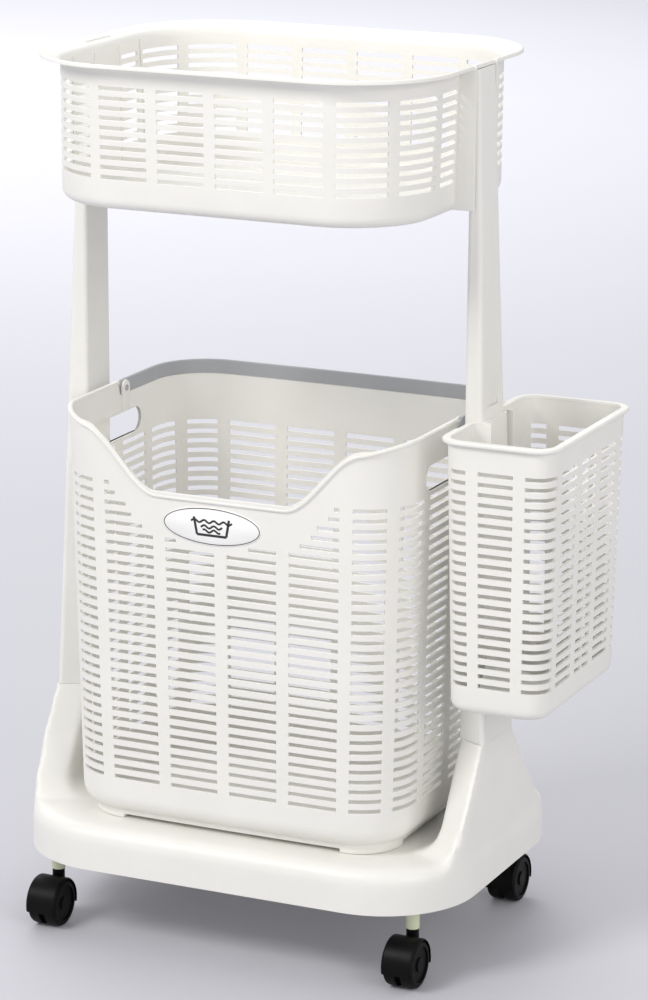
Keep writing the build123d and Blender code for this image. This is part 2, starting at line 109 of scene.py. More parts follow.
BIG_CORNER = 54.0          # laundry basket
BIG_BOTTOM_Z = 124.0
BIG_FOOT_CORNER = 52.0
BIG_FOOT_HALF = (171.0, 127.0)
BIG_BLEND = 18.0
BIG_LIP = 2.2
BIG_LIP_HEIGHT = 3.4
BIG_ROWS = (161.5, 9.65, 31)
BIG_WEB = 12.5
BIG_SLOTS = (50.5, 50.0, 31.0, 40.0, 48.0)
BIG_BOW = (3.0, 1.5)       # crown of the front and rear walls, and of the side walls
SCOOP_Z = 446.0            # S-shaped dip in the front
SCOOP_FLAT = 66.0
SCOOP_END = 143.0
SCOOP_SHOULDER = 9.0       # by which the line still rises round the corner
SCOOP_BAND = 38.0          # plain band under the dip
SHELF_Z = 496.8            # where the rear half of the wall ends, under the handle
PIVOT_Y = 14.0
HANDLE_GAP = 11.0
GRIP_Z = 470.0
GRIP_LENGTH = 114.0
GRIP_Y = -11.0             # middle of the hand holes, from the middle of the stack
GRIP_HEIGHT = 24.0
GRIP_FLANGE = 1.6          # width of the flange round a hand hole
BAIL_THICK = 4.0           # carry handle
BAIL_EDGE = 1.3
# distances from the end of the handle's arm, closer together where it rounds off
ARM_STEPS = (15.2, 13, 11, 9, 7.5, 6, 4.6, 3.4, 2.4, 1.6, 0.9, 0.4, 0.05)

SIDE_CORNER = 18.0         # side basket
POST_AT_SEAM = (213.0, 226.0, 38.0)             # height, outer face from the middle plane, half-depth
POST_AT_TOP = (842.0, 204.0, 18.0)
POST_GAP = 1.0             # between the post and the recess round it
SIDE_NECK_INSET = 5.0
SIDE_FOOT_INSET = 10.0
SIDE_BLEND = 10.0
SIDE_ROWS = (291.0, 9.5, 22)
SIDE_COLUMNS = ((0.0, 16.5), (27.5, 63.0), (74.0, 111.5), (123.0, 140.0))
SIDE_POST_COLUMNS = ((0.0, 16.5), (27.5, 44.0))

DECK_TOP = 115.0           # base
DECK_CORNER = 94.0
DECK_SHOULDER = 12.0
SEAM_Z = 213.0
POST_INNER_X = 195.5
BASE_SKIN = 3.0
BASE_VOXEL = 3.6
RISER_BLEND = 22.0
RISER_TOP = (SEAM_Z, 23.4, 39.0)               # height, half-depth of the inner and the outer face
RISER_FOOT = (DECK_TOP, 82.0, 101.0)
RISER_OUTER_X = 226.3
RISER_REAR = 0.18          # share by which a riser's foot reaches further back than forward
PLINTH_DROP = 5.0          # plinth under the laundry basket and its four corner feet
FOOT_FROM = (112.0, 62.0)
LUG_WIDTH = 15.0           # tabs inside the walls that carry the handle's pins
LUG_THICK = 2.5
LUG_GAP = 4.4


# ---- colour and node helpers


def linear(hex_colour):
    """Linear RGBA of an sRGB hex colour."""
    channels = [int(hex_colour[i : i + 2], 16) / 255 for i in (1, 3, 5)]
    return [c / 12.92 if c <= 0.04045 else ((c + 0.055) / 1.055) ** 2.4 for c in channels] + [1.0]


def add_node(tree, kind, inputs=None, **settings):
    """Add a node with its settings; each input is a value or the socket that feeds it."""
    made = tree.nodes.new(kind)
    for key, value in settings.items():
        setattr(made, key, value)
    for key, value in (inputs or {}).items():
        if isinstance(value, bpy.types.NodeSocket):
            tree.links.new(value, made.inputs[key])
        else:
            made.inputs[key].default_value = value
    return made


def new_material(name):
    """Empty node material with its output."""
    material = bpy.data.materials.new(name)
    material.use_nodes = True
    material.node_tree.nodes.clear()
    return material, material.node_tree


def clouded(tree, place, size_mm, light, dark, **noise):
    """Strength of a cloudy pattern of the given size, and the colour that it makes."""
    cloud = add_node(tree, "ShaderNodeTexNoise", {"Vector": place, "Scale": 1 / (size_mm * MM), **noise})
    shades = {"Factor": cloud.outputs["Fac"], 6: linear(light), 7: linear(dark)}
    return cloud.outputs["Fac"], add_node(tree, "ShaderNodeMix", shades, data_type="RGBA").outputs[2]


def moulded_plastic(name, light, dark, roughness, grain_mm, grain_depth, edge_tint, coat=0.0, specular=0.5):
    """Injection-moulded thermoplastic: cloudy colour, spark-eroded grain, rubbed edges and fine scuffs."""
    material, tree = new_material(name)
    place = add_node(tree, "ShaderNodeTexCoord").outputs["Object"]
    _, colour = clouded(tree, place, 60, light, dark, Detail=3.0, Roughness=0.55)
    # rounded edges rub pale or dark: the bevelled normal leaves the true one only there
    soft = add_node(tree, "ShaderNodeBevel", {"Radius": 0.9 * MM}, samples=4)
    true = add_node(tree, "ShaderNodeNewGeometry")
    normals = {0: soft.outputs["Normal"], 1: true.outputs["Normal"]}
    turn = add_node(tree, "ShaderNodeVectorMath", normals, operation="DOT_PRODUCT")
    scuffed = {"Vector": place, "Scale": 1 / (7 * MM), "Detail": 4.0, "Roughness": 0.7}
    scuff = add_node(tree, "ShaderNodeTexNoise", scuffed)
    edge = add_node(
        tree,
        "ShaderNodeMapRange",
        {"Value": turn.outputs["Value"], "From Min": 0.97, "From Max": 0.72, "To Min": 0.0, "To Max": 0.8},
    )
    worn = add_node(
        tree, "ShaderNodeMath", {0: edge.outputs["Result"], 1: scuff.outputs["Fac"]}, operation="MULTIPLY"
    )
    tinted = add_node(
        tree,
        "ShaderNodeMix",
        {"Factor": worn.outputs[0], 6: colour, 7: linear(edge_tint)},
        data_type="RGBA",
    )
    gloss = add_node(
        tree,
        "ShaderNodeMapRange",
        {"Value": scuff.outputs["Fac"], "To Min": roughness - 0.06, "To Max": roughness + 0.08},
    )
    grain = add_node(
        tree, "ShaderNodeTexNoise", {"Vector": place, "Scale": 1 / (grain_mm * MM), "Detail": 2.0}
    )
    bump = add_node(
        tree,
        "ShaderNodeBump",
        {"Height": grain.outputs["Fac"], "Strength": 0.35, "Distance": grain_depth * MM},
    )
    shader = add_node(
        tree,
        "ShaderNodeBsdfPrincipled",
        {
            "Base Color": tinted.outputs[2],
            "Roughness": gloss.outputs["Result"],
            "Normal": bump.outputs["Normal"],
            "IOR": 1.49,
            "Coat Weight": coat,
            "Specular IOR Level": specular,
        },
    )
    add_node(tree, "ShaderNodeOutputMaterial", {"Surface": shader.outputs["BSDF"]})
    return material


def zinc_plated_steel():
    """Bright zinc on steel: cool grey metal with faint cloudy passivation and turning marks."""
    material, tree = new_material("zinc_plated_steel")
    place = add_node(tree, "ShaderNodeTexCoord").outputs["Object"]
    cloud, colour = clouded(tree, place, 3, "#c9cbcc", "#a7a9a6", Detail=4.0)
    marks = add_node(tree, "ShaderNodeTexNoise", {"Vector": place, "Scale": 1 / (0.4 * MM), "Detail": 1.0})
    gloss = add_node(
        tree, "ShaderNodeMapRange", {"Value": cloud, "To Min": 0.25, "To Max": 0.42}
    )
    bump = add_node(
        tree, "ShaderNodeBump", {"Height": marks.outputs["Fac"], "Strength": 0.2, "Distance": 0.05 * MM}
    )
    shader = add_node(
        tree,
        "ShaderNodeBsdfPrincipled",
        {
            "Base Color": colour,
            "Metallic": 1.0,
            "Roughness": gloss.outputs["Result"],
            "Normal": bump.outputs["Normal"],
        },
    )
    add_node(tree, "ShaderNodeOutputMaterial", {"Surface": shader.outputs["BSDF"]})
    return material


# polypropylene in warm white: satin, faintly cloudy, edges rubbed a touch whiter
IVORY = moulded_plastic("ivory_polypropylene_moulded", "#f1f0ec", "#e8e7e1", 0.40, 0.9, 0.06, "#fbfbf8")
# the same plastic in mid grey for the handle, with a drawn, slightly duller surface
GREY = moulded_plastic("grey_polypropylene_moulded", "#afb1b5", "#a3a5aa", 0.45, 0.8, 0.06, "#c6c8cb")
# ABS hood of a caster: near black, with grey rubbed edges
BLACK = moulded_plastic(
    "black_abs_moulded", "#080808", "#060606", 0.42, 0.7, 0.08, "#202021", specular=0.14
)
# nylon wheel: black and duller, the tread rubbed grey
TREAD = moulded_plastic(
    "black_nylon_wheel_moulded", "#090909", "#070707", 0.50, 0.6, 0.12, "#1e1e1f", specular=0.14
)
# natural nylon sleeve: yellow-green ivory and waxy
NYLON = moulded_plastic("natural_nylon_moulded", "#dfe3c6", "#d3d8b6", 0.35, 0.8, 0.04, "#ecefd9")
# glossy printed plate of the badge and the ink of its figure
PLATE = moulded_plastic(
    "white_polystyrene_gloss", "#fbfbfa", "#f5f5f3", 0.22, 1.2, 0.02, "#ffffff", coat=0.3
)
INK = moulded_plastic("charcoal_screen_ink", "#232326", "#2b2b2f", 0.40, 0.5, 0.03, "#3a3a3f")
STEEL = zinc_plated_steel()


# ---- mesh helpers


def new_piece(name, points, faces, material):
    """Object whose mesh has the given points (mm) and faces."""
    mesh = bpy.data.meshes.new(name)
    mesh.from_pydata([[c * MM for c in point] for point in points], [], faces)
    mesh.materials.append(material)
    piece = bpy.data.objects.new(name, mesh)
    bpy.context.scene.collection.objects.link(piece)
    return piece


def face_outwards(piece, merge=0.002):
    """Merge doubles (mm) and turn every face outwards."""
    work = bmesh.new()
    work.from_mesh(piece.data)
    bmesh.ops.remove_doubles(work, verts=work.verts, dist=merge * MM)
    bmesh.ops.recalc_face_normals(work, faces=work.faces)
    work.to_mesh(piece.data)
    work.free()


def finish_piece(piece):
    """Turn the modifiers' result into the piece's plain mesh."""
    graph = bpy.context.evaluated_depsgraph_get()
    mesh = bpy.data.meshes.new_from_object(piece.evaluated_get(graph), depsgraph=graph)
    piece.modifiers.clear()
    piece.data = mesh
    return piece


def smooth_by_angle(piece, degrees=32):
    """Smooth shading, kept sharp where faces meet at more than the angle."""
    piece.data.shade_smooth()
    piece.data.set_sharp_from_angle(angle=math.radians(degrees))


def joined(name, pieces):
    """One piece made of several finished ones."""
    work = bmesh.new()
    for piece in pieces:
        work.from_mesh(piece.data)
    mesh = bpy.data.meshes.new(name)
    work.to_mesh(mesh)
    work.free()
    mesh.materials.append(pieces[0].data.materials[0])
    for piece in pieces:
        bpy.data.objects.remove(piece)
    result = bpy.data.objects.new(name, mesh)
    bpy.context.scene.collection.objects.link(result)
    return result


def soften(piece, width, segments=2, angle=35):
    """Round the piece's edges."""
    bevel = piece.modifiers.new("edge_rounding", "BEVEL")
    bevel.width = width * MM
    bevel.segments = segments
    bevel.limit_method = "ANGLE"
    bevel.angle_limit = math.radians(angle)
    bevel.miter_outer = "MITER_ARC"
    return finish_piece(piece)


# ---- outlines


def path_through(corners, radii):
    """Lines and arcs through corner points, each inner corner rounded by its radius."""
    pieces = []
    start = np.array(corners[0], float)
    for i, radius in enumerate(radii, start=1):
        before, corner, after = (np.array(corners[k], float) for k in (i - 1, i, i + 1))
        inward = (before - corner) / np.linalg.norm(before - corner)
        onward = (after - corner) / np.linalg.norm(after - corner)
        half = math.acos(np.clip(inward @ onward, -1, 1)) / 2
        reach = radius / math.tan(half)
        middle_way = (inward + onward) / np.linalg.norm(inward + onward)
        centre = corner + middle_way * radius / math.sin(half)
        first, last = corner + inward * reach, corner + onward * reach
        pieces.append(("line", start, first))
        begin = math.atan2(*(first - centre)[::-1])
        swing = (math.atan2(*(last - centre)[::-1]) - begin + math.pi) % (2 * math.pi) - math.pi
        pieces.append(("arc", centre, radius, begin, swing))
        start = last
    pieces.append(("line", start, np.array(corners[-1], float)))
    return pieces


def length_of(part):
    return np.linalg.norm(part[2] - part[1]) if part[0] == "line" else part[2] * abs(part[4])


def point_on(path, place):
    """Point at (index of the part) + (share of it) along a path."""
    index = min(int(place), len(path) - 1)
    share = place - index
    part = path[index]
    if part[0] == "line":
        return part[1] + (part[2] - part[1]) * share
    angle = part[3] + part[4] * share
    return part[1] + part[2] * np.array((math.cos(angle), math.sin(angle)))


def place_at(path, distance):
    """The place, in part indexes, of a distance along a path."""
    for index, part in enumerate(path):
        reach = length_of(part)
        if distance <= reach or index == len(path) - 1:
            return index + min(distance / reach, 1.0)
        distance -= reach


def divide(path, columns):
    """Places that divide a path into cells, and for each cell whether it lies in a slot column."""
    corners = []
    run = 0.0
    for part in path:
        run += length_of(part)
        corners.append(run)
    marks = sorted({0.0, *corners, *(min(edge, run) for column in columns for edge in column)})
    places, slotted = [0.0], []
    for low, high in zip(marks, marks[1:]):
        if high - low < 0.05:
            continue
        count = max(1, math.ceil((high - low) / CELL))
        inside = any(start - 0.05 <= low and high <= end + 0.05 for start, end in columns)
        for step in range(1, count + 1):
            places.append(place_at(path, low + (high - low) * step / count))
            slotted.append(inside)
    return places, slotted


def columns(web, widths):
    """Start and end of each column of slots, with half a web at the middle of the front."""
    start = web / 2
    for width in widths:
        yield start, start + width
        start += width + web


def shares(path, places):
    """Places as shares of the path's whole length."""
    lengths = [length_of(part) for part in path]
    starts = np.concatenate([[0.0], np.cumsum(lengths)])
    return [np.interp(place, range(len(starts)), starts) / starts[-1] for place in places]


def spread(path, portions):
    """The places at given shares of a path's whole length."""
    whole = sum(length_of(part) for part in path)
    return [place_at(path, portion * whole) for portion in portions]


def quadrant(half_w, half_d, corner):
    """Path from the middle of the front to the middle of the right-hand side."""
    return path_through([(0, -half_d), (half_w, -half_d), (half_w, 0)], [corner])


def crowned(points, half_w, half_d, bow):
    """Points drawn in towards the corners, so that each wall is crowned by its bow."""
    x, y = points[:, 0].copy(), points[:, 1].copy()
    points[:, 1] = y * (1 - bow[0] / half_d * (x / half_w) ** 2)
    points[:, 0] = x * (1 - bow[1] / half_w * (y / half_d) ** 2)
    return points


def ring(right, left, right_places, left_places):
    """Closed round of points: the right-hand quarter path and its mirror image, then the left-hand ones."""
    east = np.array([point_on(right, place) for place in right_places])
    west = np.array([point_on(left, place) for place in left_places])
    return np.concatenate(
        [
            east[:-1],
            (east * (1, -1))[::-1][:-1],
            (west * (-1, -1))[:-1],
            (west * (-1, 1))[::-1][:-1],
        ]
    )


def round_flags(right, left):
    return right + right[::-1] + left + left[::-1]


def between(z, low, high):
    """Numbers at height z on the straight line through low = (z, …) and high = (z, …)."""
    share = (z - low[0]) / (high[0] - low[0])
    return [a + (b - a) * share for a, b in zip(low[1:], high[1:])]


def band_faces(size, levels, closed=False):
    """Quads between rings of the given size; closed also joins the last ring to the first."""
    faces = []
    for level in range(levels if closed else levels - 1):
        low, high = level * size, (level + 1) % levels * size
        for i in range(size):
            after = (i + 1) % size
            faces.append((low + i, low + after, high + after, high + i))
    return faces


def basket_skin(name, rings, slotted, centre, material):
    """Outer skin through rings [(z, points)], foot closed, with the cells of slot columns marked."""
    count = len(rings[0][1])
    points = [(centre[0] + x, centre[1] + y, z) for z, outline in rings for x, y in outline]
    faces = [tuple(range(count))[::-1], *band_faces(count, len(rings))]
    piece = new_piece(name, points, faces, material)
    column = piece.data.attributes.new("slot_column", "BOOLEAN", "FACE")
    column.data.foreach_set("value", [False] + slotted * (len(rings) - 1))
    return piece


# ---- the tree that trims and slots a basket's wall


MATHS, LOGIC = "ShaderNodeMath", "FunctionNodeBooleanMath"

# each step: the name of its result, the kind of node, the operation, and what it is worked out from
DIP_STEPS = (
    ("off middle", MATHS, "SUBTRACT", "X", "Middle X"),
    ("across", MATHS, "ABSOLUTE", "off middle"),
    ("top of curve", MATHS, "SUBTRACT", "Rim Height", "Dip Shoulder"),
)
RIM_STEPS = (
    ("dip", MATHS, "ADD", "curve", "shoulder"),
    ("in front", MATHS, "LESS_THAN", "Y", "Front Y"),
    ("not in front", MATHS, "SUBTRACT", 1.0, "in front"),
    ("rim in front", MATHS, "MULTIPLY", "dip", "in front"),
    ("rim elsewhere", MATHS, "MULTIPLY", "Rim Height", "not in front"),
    ("whole rim", MATHS, "ADD", "rim in front", "rim elsewhere"),
    ("behind", MATHS, "GREATER_THAN", "Y", "Shelf Start Y"),
    ("not behind", MATHS, "SUBTRACT", 1.0, "behind"),
    ("shelf", MATHS, "ADD", "Shelf Height", "not behind"),
    ("rim", MATHS, "MINIMUM", "whole rim", "shelf"),
    ("lowered z", MATHS, "MINIMUM", "Z", "rim"),
)
SLOT_STEPS = (
    ("above first", MATHS, "SUBTRACT", "Z", "First Row"),
    ("row", MATHS, "DIVIDE", "above first", "Row Pitch"),
    ("within pitch", MATHS, "FRACT", "row"),
    ("open share", MATHS, "DIVIDE", "Slot Height", "Row Pitch"),
    ("in slot", MATHS, "LESS_THAN", "within pitch", "open share"),
    ("past first", MATHS, "GREATER_THAN", "row", 0.0),
    ("before last", MATHS, "LESS_THAN", "Z", "Last Row"),
    ("among rows", LOGIC, "AND", "past first", "before last"),
    ("in row", LOGIC, "AND", "in slot", "among rows"),
    ("band", MATHS, "SUBTRACT", "dip", "Plain Band"),
    ("below band", MATHS, "LESS_THAN", "Z", "band"),
    ("from badge x", MATHS, "SUBTRACT", "X", "Badge X"),
    ("badge x", MATHS, "DIVIDE", "from badge x", "Badge Half Width"),
    ("badge x squared", MATHS, "MULTIPLY", "badge x", "badge x"),
    ("from badge z", MATHS, "SUBTRACT", "Z", "Badge Z"),
    ("badge z", MATHS, "DIVIDE", "from badge z", "Badge Half Height"),
    ("badge z squared", MATHS, "MULTIPLY", "badge z", "badge z"),
    ("badge reach", MATHS, "ADD", "badge x squared", "badge z squared"),
    ("off badge", MATHS, "GREATER_THAN", "badge reach", 1.0),
    ("open front", LOGIC, "AND", "below band", "off badge"),
    ("elsewhere", LOGIC, "NOT", "in front"),
    ("allowed", LOGIC, "OR", "open front", "elsewhere"),
    ("column and row", LOGIC, "AND", "slot column", "in row"),
    ("chosen", LOGIC, "AND", "column and row", "allowed"),
)


def work_out(tree, known, steps):
    """Add a node for each step and keep its result in known under the step's name."""
    for name, kind, operation, *sources in steps:
        inputs = {index: known.get(source, source) for index, source in enumerate(sources)}
        known[name] = add_node(tree, kind, inputs, operation=operation).outputs[0]


def slotting_tree():
    """Geometry tree: trims a wall to its rim line, then opens the rows of slots in its slot columns."""
    tree = bpy.data.node_groups.new("basket_slots", "GeometryNodeTree")
    sizes = (
        "First Row", "Row Pitch", "Slot Height", "Last Row", "Middle X", "Front Y",
        "Dip Height", "Dip Flat", "Dip End", "Dip Shoulder", "Half Width", "Rim Height", "Plain Band",
        "Shelf Start Y", "Shelf Height", "Badge X", "Badge Z", "Badge Half Width", "Badge Half Height",
    )
    tree.interface.new_socket("Geometry", in_out="INPUT", socket_type="NodeSocketGeometry")
    for size in sizes:
        tree.interface.new_socket(size, in_out="INPUT", socket_type="NodeSocketFloat")
    tree.interface.new_socket("Material", in_out="INPUT", socket_type="NodeSocketMaterial")
    tree.interface.new_socket("Geometry", in_out="OUTPUT", socket_type="NodeSocketGeometry")
    given = add_node(tree, "NodeGroupInput").outputs
    known = {size: given[size] for size in sizes}
    where = add_node(tree, "GeometryNodeInputPosition").outputs[0]
    parts = add_node(tree, "ShaderNodeSeparateXYZ", {0: where}).outputs
    known.update({axis: parts[axis] for axis in "XYZ"})
    column = add_node(tree, "GeometryNodeInputNamedAttribute", {"Name": "slot_column"}, data_type="BOOLEAN")
    known["slot column"] = column.outputs[0]

    work_out(tree, known, DIP_STEPS)
    curve = {
        "Value": known["across"],
        "From Min": known["Dip Flat"],
        "From Max": known["Dip End"],
        "To Min": known["Dip Height"],
        "To Max": known["top of curve"],
    }
    shoulder = {
        "Value": known["across"],
        "From Min": known["Dip End"],
        "From Max": known["Half Width"],
        "To Max": known["Dip Shoulder"],
    }
    for name, inputs, kind in (("curve", curve, "SMOOTHSTEP"), ("shoulder", shoulder, "LINEAR")):
        ramp = add_node(tree, "ShaderNodeMapRange", inputs, interpolation_type=kind)
        known[name] = ramp.outputs["Result"]
    work_out(tree, known, RIM_STEPS)
    lowered = add_node(
        tree, "ShaderNodeCombineXYZ", {"X": known["X"], "Y": known["Y"], "Z": known["lowered z"]}
    )
    trimmed = add_node(
        tree, "GeometryNodeSetPosition", {"Geometry": given["Geometry"], "Position": lowered.outputs[0]}
    )
    merged = add_node(
        tree, "GeometryNodeMergeByDistance", {"Geometry": trimmed.outputs[0], "Distance": 0.02 * MM}
    )
    work_out(tree, known, SLOT_STEPS)
    selected = {"Geometry": merged.outputs[0], "Selection": known["chosen"]}
    opened = add_node(tree, "GeometryNodeDeleteGeometry", selected, domain="FACE")
    real = add_node(tree, "GeometryNodeRealizeInstances", {"Geometry": opened.outputs[0]})
    dressed = add_node(
        tree, "GeometryNodeSetMaterial", {"Geometry": real.outputs[0], "Material": given["Material"]}
    )
    add_node(tree, "NodeGroupOutput", {"Geometry": dressed.outputs[0]})
    return tree


SLOTTING = slotting_tree()


def slot_wall(piece, rows, material, **sizes):
    """Run the slotting tree on a skin and give the wall its thickness and softened edges."""
    first, pitch, count = rows
    values = {
        "First Row": (first - SLOT / 2) * MM,
        "Row Pitch": pitch * MM,
        "Slot Height": SLOT * MM,
        "Last Row": (first + pitch * (count - 1) + SLOT) * MM,
        "Middle X": MID_X * MM,
        "Front Y": -1.0,
        "Rim Height": 1.0,
        "Shelf Start Y": 1.0,
        "Dip End": 1.0,
        "Half Width": 2.0,
        "Badge Half Width": MM,
        "Badge Half Height": MM,
        "Material": material,
        **{name: value * MM for name, value in sizes.items()},
    }
    modifier = piece.modifiers.new("slots", "NODES")
    modifier.node_group = SLOTTING
    for socket in SLOTTING.interface.items_tree:
        if socket.in_out == "INPUT" and socket.name in values:
            modifier[socket.identifier] = values[socket.name]
    finish_piece(piece)
    face_outwards(piece)
    thick = piece.modifiers.new("wall", "SOLIDIFY")
    thick.thickness = WALL * MM
    thick.offset = -1
    thick.use_even_offset = True
    soften(piece, SLOT_EDGE, segments=1, angle=40)
    return piece


def row_lines(rows):
    """Heights of the lower and upper edge of every row of slots."""
    first, pitch, count = rows
    return [first + pitch * k + side * SLOT / 2 for k in range(count) for side in (-1, 1)]


# ---- swept lips and straps


def rounded_bar(low_out, high_out, low_up, high_up, radius, steps=4):
    """Closed section (out, up) of a bar with rounded corners."""
    section = []
    for centre_out, centre_up, begin in (
        (high_out - radius, high_up - radius, 0),
        (low_out + radius, high_up - radius, 90),
        (low_out + radius, low_up + radius, 180),
        (high_out - radius, low_up + radius, 270),
    ):
        for step in range(steps + 1):
            angle = math.radians(begin + 90 * step / steps)
            section.append((centre_out + radius * math.cos(angle), centre_up + radius * math.sin(angle)))
    return section


def sweep(name, route, section, material, closed=False, squeeze=None):
    """Bar along a route of (x, y, z) points, its section standing upright and facing outwards.

    squeeze gives, for each point of the route, the factor by which the section is shortened in height.
    """
    route = np.array(route, float)
    count = len(route)
    ahead = np.roll(route, -1, 0) - np.roll(route, 1, 0)
    if not closed:
        ahead[0] = route[1] - route[0]
        ahead[-1] = route[-1] - route[-2]
    out = np.stack([ahead[:, 1], -ahead[:, 0], np.zeros(count)], 1)
    out /= np.linalg.norm(out, axis=1)[:, None]
    along = ahead / np.linalg.norm(ahead, axis=1)[:, None]
    up = np.cross(out, along)
    up *= np.sign(up[:, 2])[:, None]
    middle_up = sum(point[1] for point in section) / len(section)
    points = []
    for i in range(count):
        factor = squeeze[i] if squeeze else 1.0
        for side, rise in section:
            height = middle_up + (rise - middle_up) * factor
            points.append(tuple(route[i] + out[i] * side + up[i] * height))
    size = len(section)
    faces = band_faces(size, count, closed)
    if not closed:
        faces += [tuple(range(size))[::-1], tuple(range(len(points) - size, len(points)))]
    piece = new_piece(name, points, faces, material)
    face_outwards(piece)
    return piece


def stack(name, rings, material, closed=False):
    """Solid through rings of (x, y, z) points, capped at both ends or closed on itself."""
    count = len(rings[0])
    points = [point for outline in rings for point in outline]
    faces = band_faces(count, len(rings), closed)
    if not closed:
        faces += [tuple(range(count))[::-1], tuple(range(len(points) - count, len(points)))]
    piece = new_piece(name, points, faces, material)
    face_outwards(piece)
    return piece


def prism(name, outline, low_z, high_z, material):
    """Upright prism over a closed outline of (x, y) points."""
    return stack(name, [[(x, y, z) for x, y in outline] for z in (low_z, high_z)], material)


# ---- top basket


def blend_rings(bottom_z, blend, steps=6):
    """Levels of a rounded bottom edge: (z, inset) from the floor up to the wall."""
    for step in range(steps + 1):
        angle = math.pi / 2 * step / steps
        yield bottom_z + blend * (1 - math.cos(angle)), blend * (1 - math.sin(angle))


def make_top_basket():
    """Shallow basket with a wide flared rim, the posts' sleeves and four thin ridges."""
    half_w, half_d = half_size(TOP_LOW, TOP_HIGH)
    bottom_z, rim_z = TOP_LOW.z, TOP_HIGH.z
    foot = (bottom_z, half_w - TOP_FOOT_INSET, half_d - TOP_FOOT_INSET, TOP_FOOT_CORNER)
    neck = (TOP_NECK_Z, half_w - TOP_NECK_INSET, half_d - TOP_NECK_INSET, TOP_NECK_CORNER)
    reference = quadrant(*neck[1:])
    places, slotted = divide(reference, list(columns(TOP_WEB, TOP_SLOTS)))
    portions = shares(reference, places)

    def outline(half_w, half_d, corner):
        path = quadrant(half_w, half_d, corner)
        here = spread(path, portions)
        return ring(path, path, here, here)

    def wall(z, inset=0.0):
        a, b, r = between(z, foot, neck)
        return (z, outline(a - inset, b - inset, r - inset))

    rings = [wall(z, inset) for z, inset in blend_rings(bottom_z, TOP_BLEND)]
    rings += [wall(z) for z in (*row_lines(TOP_ROWS), TOP_NECK_Z)]
    # flare: out in a hollow curve, up the flange, and over the rolled edge
    flare = [
        (TOP_NECK_INSET - TOP_HOLLOW * (1 - math.cos(turn)), TOP_NECK_Z + TOP_HOLLOW * math.sin(turn))
        for turn in (math.radians(degrees) for degrees in (18, 36, 54, 72))
    ]
    flare += [(inset, rim_z - depth) for inset, depth in TOP_FLANGE]
    for inset, z in flare:
        corner = TOP_CORNER + (TOP_NECK_CORNER - TOP_CORNER) * inset / TOP_NECK_INSET
        rings.append((z, outline(half_w - inset, half_d - inset, corner)))
    skin = basket_skin("top_basket_shell", rings, round_flags(slotted, slotted), (MID_X, STACK_Y), IVORY)
    slot_wall(skin, TOP_ROWS, IVORY)
    parts = [skin]

    def under_flare(x):
        """Height just inside the flare's material, above x from the middle plane."""
        insets, heights = zip(*sorted([(TOP_NECK_INSET, TOP_NECK_Z), *flare[:6]]))
        return float(np.interp(half_w - x, insets, heights)) + 0.6

    # sleeves that the posts stand in, open outwards
    for side in (-1, 1):
        d, t = SLEEVE_HALF_D, WALL
        levels = []
        for z in (bottom_z, None):
            root = between(z or TOP_NECK_Z, foot, neck)[0] - 1.2
            inner, outer, far = SLEEVE_INNER_X, SLEEVE_INNER_X + t, SLEEVE_OUTER_X
            profile = [
                (root, -d), (outer, -d), (far, -d), (far, -d + t), (outer, -d + t),
                (outer, d - t), (far, d - t), (far, d), (outer, d), (root, d),
                (root, d - t), (inner, d - t), (inner, -d + t), (root, -d + t),
            ]
            levels.append([(MID_X + side * x, STACK_Y + y, z or under_flare(x)) for x, y in profile])
        parts.append(soften(stack("sleeve", levels, IVORY), 0.6))
    # thin upright ridge between the corner's slots and the side's
    place = place_at(reference, TOP_RIDGE_AT)
    ahead = point_on(reference, place + 0.01) - point_on(reference, place - 0.01)
    ahead /= np.linalg.norm(ahead)
    out = np.array((-ahead[1], ahead[0])) * -1
    for across in (-1, 1):
        for along in (-1, 1):
            levels = []
            for z in (TOP_ROWS[0] - 5, TOP_NECK_Z + 2):
                root = point_on(quadrant(*between(z, foot, neck)), place)
                profile = [root + ahead * shift + out * rise for shift, rise in RIDGE_SECTION]
                levels.append([(MID_X + across * x, STACK_Y + along * y, z) for x, y in profile])
            parts.append(stack("ridge", levels, IVORY))
    basket = joined("top_basket_moulding", parts)
    smooth_by_angle(basket)
    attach(basket, "top_basket")
    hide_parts("top_basket")


# ---- laundry basket


def dip_height(x):
    """Height of the front's rim line at x from the basket's middle."""
    half_w, _ = half_size(BIG_LOW, BIG_HIGH)
    share = min(max((abs(x) - SCOOP_FLAT) / (SCOOP_END - SCOOP_FLAT), 0.0), 1.0)
    last = min(max((abs(x) - SCOOP_END) / (half_w - BIG_LIP - SCOOP_END), 0.0), 1.0)
    rise = BIG_HIGH.z - SCOOP_SHOULDER - SCOOP_Z
    return SCOOP_Z + rise * share * share * (3 - 2 * share) + SCOOP_SHOULDER * last


def big_sizes(z):
    """Half-width, half-depth and corner radius of the laundry basket's wall at height z."""
    foot = (BIG_BOTTOM_Z, *BIG_FOOT_HALF, BIG_FOOT_CORNER)
    half_w, half_d = half_size(BIG_LOW, BIG_HIGH)
    rim = (BIG_HIGH.z, half_w - BIG_LIP, half_d - BIG_LIP, BIG_CORNER)
    return between(z, foot, rim)


